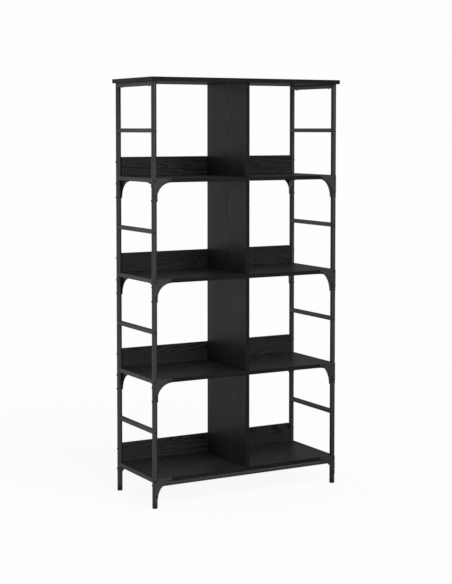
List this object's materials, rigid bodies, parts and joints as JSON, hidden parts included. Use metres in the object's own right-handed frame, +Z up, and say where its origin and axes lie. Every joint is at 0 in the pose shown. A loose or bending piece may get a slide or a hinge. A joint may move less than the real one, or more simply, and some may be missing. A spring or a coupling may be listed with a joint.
{
  "type": "open bookcase with divided shelves",
  "caption": "Tall open bookcase: board shelves split by a central divider, low back boards, and ladder-like round-tube side frames with arched corner brackets.",
  "frame": {"origin": "on the floor under the middle of the bookcase", "axes": "+X to the right as seen from the front, +Y to the back, +Z up"},
  "size_m": [0.785, 0.33, 1.53],
  "materials": {
    "oak_board": "black oak-grain laminate, satin",
    "steel": "black powder coat, fine texture",
    "plastic": "black moulded plastic"
  },
  "bodies": {
    "root": {"top_panel": "oak_board", "shelf_1": "oak_board", "divider_1": "oak_board", "back_board_1": "oak_board", "shelf_2": "oak_board", "divider_2": "oak_board", "back_board_2": "oak_board", "shelf_3": "oak_board", "divider_3": "oak_board", "back_board_3": "oak_board", "shelf_4": "oak_board", "divider_4": "oak_board", "back_board_4": "oak_board", "post_front_left": "steel", "foot_cap_front_left": "plastic", "post_rear_left": "steel", "foot_cap_rear_left": "plastic", "side_rail_top_left": "steel", "side_rail_1_left": "steel", "rung_1_left": "steel", "side_rail_2_left": "steel", "rung_2_left": "steel", "side_rail_3_left": "steel", "rung_3_left": "steel", "side_rail_4_left": "steel", "rung_4_left": "steel", "post_front_right": "steel", "foot_cap_front_right": "plastic", "post_rear_right": "steel", "foot_cap_rear_right": "plastic", "side_rail_top_right": "steel", "side_rail_1_right": "steel", "rung_1_right": "steel", "side_rail_2_right": "steel", "rung_2_right": "steel", "side_rail_3_right": "steel", "rung_3_right": "steel", "side_rail_4_right": "steel", "rung_4_right": "steel", "bottom_rail_front": "steel", "bottom_rail_rear": "steel", "leg_bracket_front_left": "steel", "bracket_2_front_left": "steel", "bracket_3_front_left": "steel", "bracket_4_front_left": "steel", "leg_bracket_rear_left": "steel", "bracket_2_rear_left": "steel", "bracket_3_rear_left": "steel", "bracket_4_rear_left": "steel", "leg_bracket_front_right": "steel", "bracket_2_front_right": "steel", "bracket_3_front_right": "steel", "bracket_4_front_right": "steel", "leg_bracket_rear_right": "steel", "bracket_2_rear_right": "steel", "bracket_3_rear_right": "steel", "bracket_4_rear_right": "steel"}
  },
  "joints": []
}
